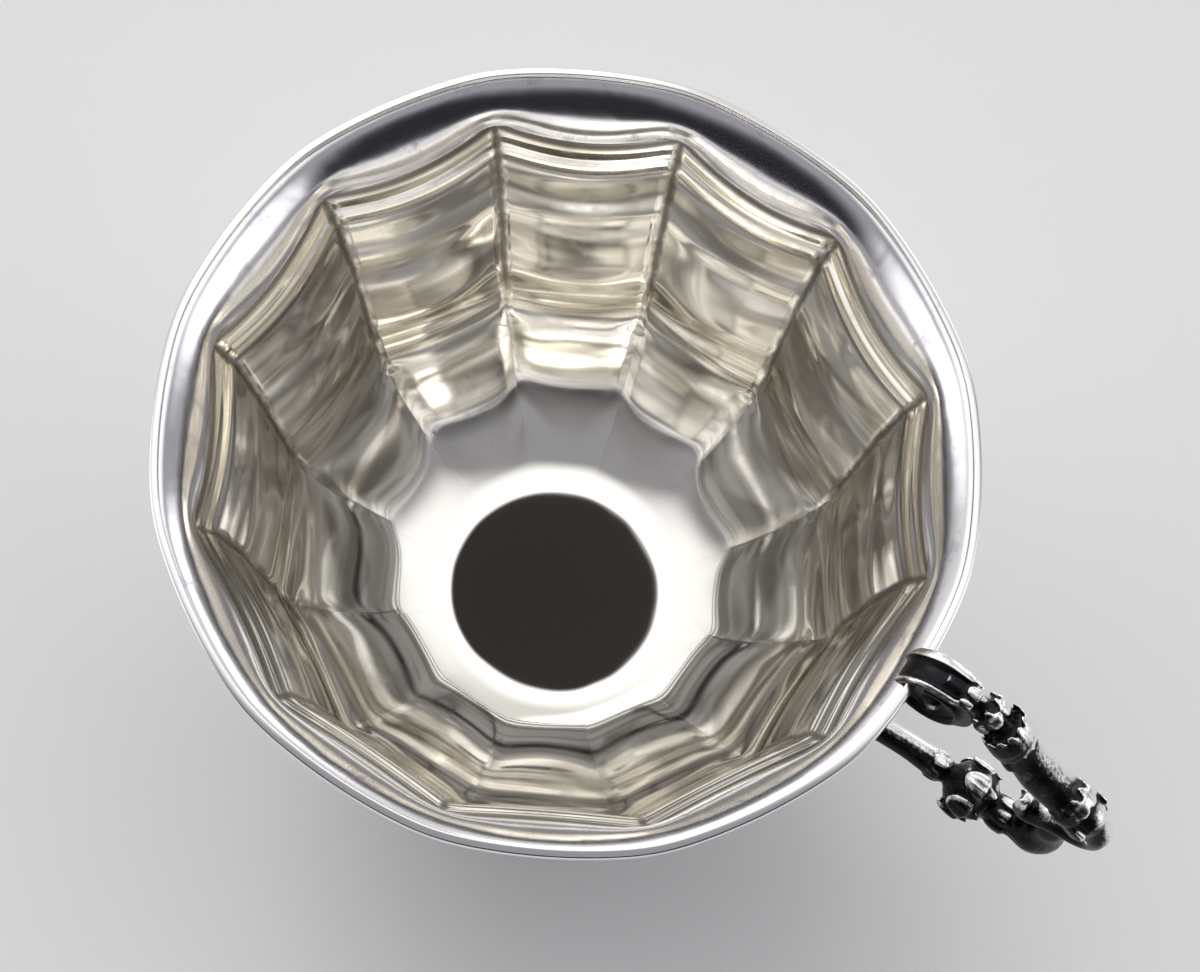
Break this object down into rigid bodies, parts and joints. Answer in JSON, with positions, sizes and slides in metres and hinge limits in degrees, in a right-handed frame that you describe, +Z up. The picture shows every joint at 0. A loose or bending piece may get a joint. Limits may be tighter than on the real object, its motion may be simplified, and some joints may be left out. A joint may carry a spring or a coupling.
{
  "type": "silver cup",
  "caption": "Round silver tea cup with a fluted bowl, flared lip, spreading foot and a cast scroll handle.",
  "frame": {"origin": "on the table, under the middle of the whole cup: half-way between the far side of the rim and the outside of the handle; the axis of the bowl stands at x = -0.01159 m", "axes": "+Z up along the axis of the bowl, +X towards the handle, +Y to the left of the handle seen from the cup"},
  "size_m": [0.1024, 0.0792, 0.0543],
  "materials": {
    "silver": "polished silver, lightly tarnished",
    "gilt_silver": "polished silver with a pale worn gilt wash inside",
    "oxidised_silver": "cast silver, polished on its high places and dark in its recesses"
  },
  "bodies": {
    "root": {"cup_body": "gilt_silver", "rim_wire": "silver", "foot_ring": "silver", "foot_wire": "silver", "handle_scroll": "oxidised_silver", "handle_arm": "oxidised_silver"}
  },
  "joints": []
}
